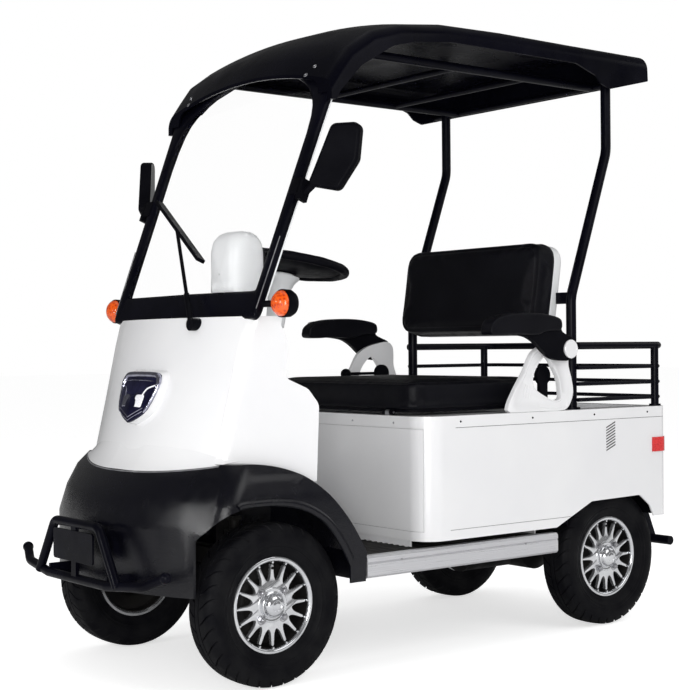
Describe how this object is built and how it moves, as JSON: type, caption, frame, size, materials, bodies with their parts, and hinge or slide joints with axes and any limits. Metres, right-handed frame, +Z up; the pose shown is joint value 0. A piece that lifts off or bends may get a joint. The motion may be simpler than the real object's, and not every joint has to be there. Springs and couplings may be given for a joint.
{
  "type": "golf cart",
  "caption": "Small electric cart with a hard canopy, windscreen, lifting bench seat, folding armrests, railed load bed and steered front wheels.",
  "frame": {"origin": "on the ground, under the middle of the overall length and width", "axes": "+Z up, front faces -Y, the cart's left side is +X"},
  "size_m": [1.0386, 1.9, 1.7539],
  "materials": {
    "tyre": "matt",
    "bright_rim": "polished",
    "black_steel": "satin",
    "strut_steel": "satin",
    "sill": "satin",
    "white_panel": "gloss",
    "black_moulding": "satin",
    "lamp_glass": "gloss",
    "clear_screen": "gloss",
    "black_gloss": "gloss",
    "battery_case": "matt",
    "red_lens": "gloss",
    "amber_lens": "gloss",
    "black_vinyl": "satin",
    "grey_shroud": "satin",
    "floor_rubber": "matt"
  },
  "bodies": {
    "chassis": {"frame": "black_steel", "front_axle": "black_steel", "rear_axle": "black_steel", "spring_struts": "strut_steel", "floor_pan": "floor_rubber", "side_sills": "sill", "front_cowl": "white_panel", "front_skirt": "black_moulding", "head_lamp": "lamp_glass", "front_bumper": "black_steel", "rear_bumper": "black_steel", "screen_frame": "black_steel", "windscreen": "clear_screen", "wiper": "black_gloss", "canopy": "black_gloss", "canopy_frame": "black_steel", "rear_body": "white_panel", "front_panel": "white_panel", "wheel_liners": "black_moulding", "battery_pack": "battery_case", "load_rails": "black_steel", "tail_lamps": "red_lens", "seat_hinges": "strut_steel", "backrest_cushion": "black_vinyl", "backrest_shell": "white_panel", "armrest_brackets": "white_panel", "hand_levers": "black_gloss", "steering_column": "grey_shroud", "dash_pod": "grey_shroud", "pedals": "black_moulding", "turn_signals": "amber_lens", "mirrors": "black_gloss"},
    "seat": {"seat_base": "black_moulding", "seat_cushion": "black_vinyl"},
    "armrest_left": {"armrest_left": "black_vinyl"},
    "armrest_right": {"armrest_right": "black_vinyl"},
    "steering_wheel": {"steering_wheel": "black_moulding"},
    "tie_rod": {"tie_rod": "strut_steel"},
    "knuckle_left": {"knuckle_left": "black_steel"},
    "knuckle_right": {"knuckle_right": "black_steel"},
    "wheel_front_left": {"tyre_front_left": "tyre", "rim_front_left": "bright_rim"},
    "wheel_front_right": {"tyre_front_right": "tyre", "rim_front_right": "bright_rim"},
    "wheel_rear_left": {"tyre_rear_left": "tyre", "rim_rear_left": "bright_rim"},
    "wheel_rear_right": {"tyre_rear_right": "tyre", "rim_rear_right": "bright_rim"}
  },
  "joints": [
    {"name": "steer_left", "type": "hinge", "parent": "chassis", "child": "knuckle_left", "pos_m": [0.3, -0.59, 0.205], "axis": [0, 0, 1], "range_deg": [-25, 25]},
    {"name": "steer_right", "type": "hinge", "parent": "chassis", "child": "knuckle_right", "pos_m": [-0.3, -0.59, 0.205], "axis": [0, 0, 1], "range_deg": [-25, 25]},
    {"name": "steering_wheel_turn", "type": "hinge", "parent": "chassis", "child": "steering_wheel", "pos_m": [0, -0.284, 1.078], "axis": [0, 0.1736, 0.9848], "range_deg": [-125, 125]},
    {"name": "tie_rod_slide", "type": "slide", "parent": "chassis", "child": "tie_rod", "axis": [1, 0, 0], "range_m": [-0.03, 0.03]},
    {"name": "front_left_spin", "type": "hinge", "parent": "knuckle_left", "child": "wheel_front_left", "pos_m": [0.334, -0.59, 0.205], "axis": [1, 0, 0], "continuous": true},
    {"name": "front_right_spin", "type": "hinge", "parent": "knuckle_right", "child": "wheel_front_right", "pos_m": [-0.334, -0.59, 0.205], "axis": [1, 0, 0], "continuous": true},
    {"name": "rear_left_spin", "type": "hinge", "parent": "chassis", "child": "wheel_rear_left", "pos_m": [0.323, 0.66, 0.205], "axis": [1, 0, 0], "continuous": true},
    {"name": "rear_right_spin", "type": "hinge", "parent": "chassis", "child": "wheel_rear_right", "pos_m": [-0.323, 0.66, 0.205], "axis": [1, 0, 0], "continuous": true},
    {"name": "seat_tilt", "type": "hinge", "parent": "chassis", "child": "seat", "pos_m": [0, -0.098, 0.664], "axis": [1, 0, 0], "range_deg": [0, 70]},
    {"name": "armrest_left_lift", "type": "hinge", "parent": "chassis", "child": "armrest_left", "pos_m": [0.419, 0.424, 0.834], "axis": [-1, 0, 0], "range_deg": [0, 85]},
    {"name": "armrest_right_lift", "type": "hinge", "parent": "chassis", "child": "armrest_right", "pos_m": [-0.419, 0.424, 0.834], "axis": [-1, 0, 0], "range_deg": [0, 85]}
  ],
  "couplings": [
    {"joint": "steer_right", "follows": "steer_left", "ratio": 1},
    {"joint": "steering_wheel_turn", "follows": "steer_left", "ratio": 5},
    {"joint": "tie_rod_slide", "follows": "steer_left", "m_per_rad": -0.0678}
  ]
}
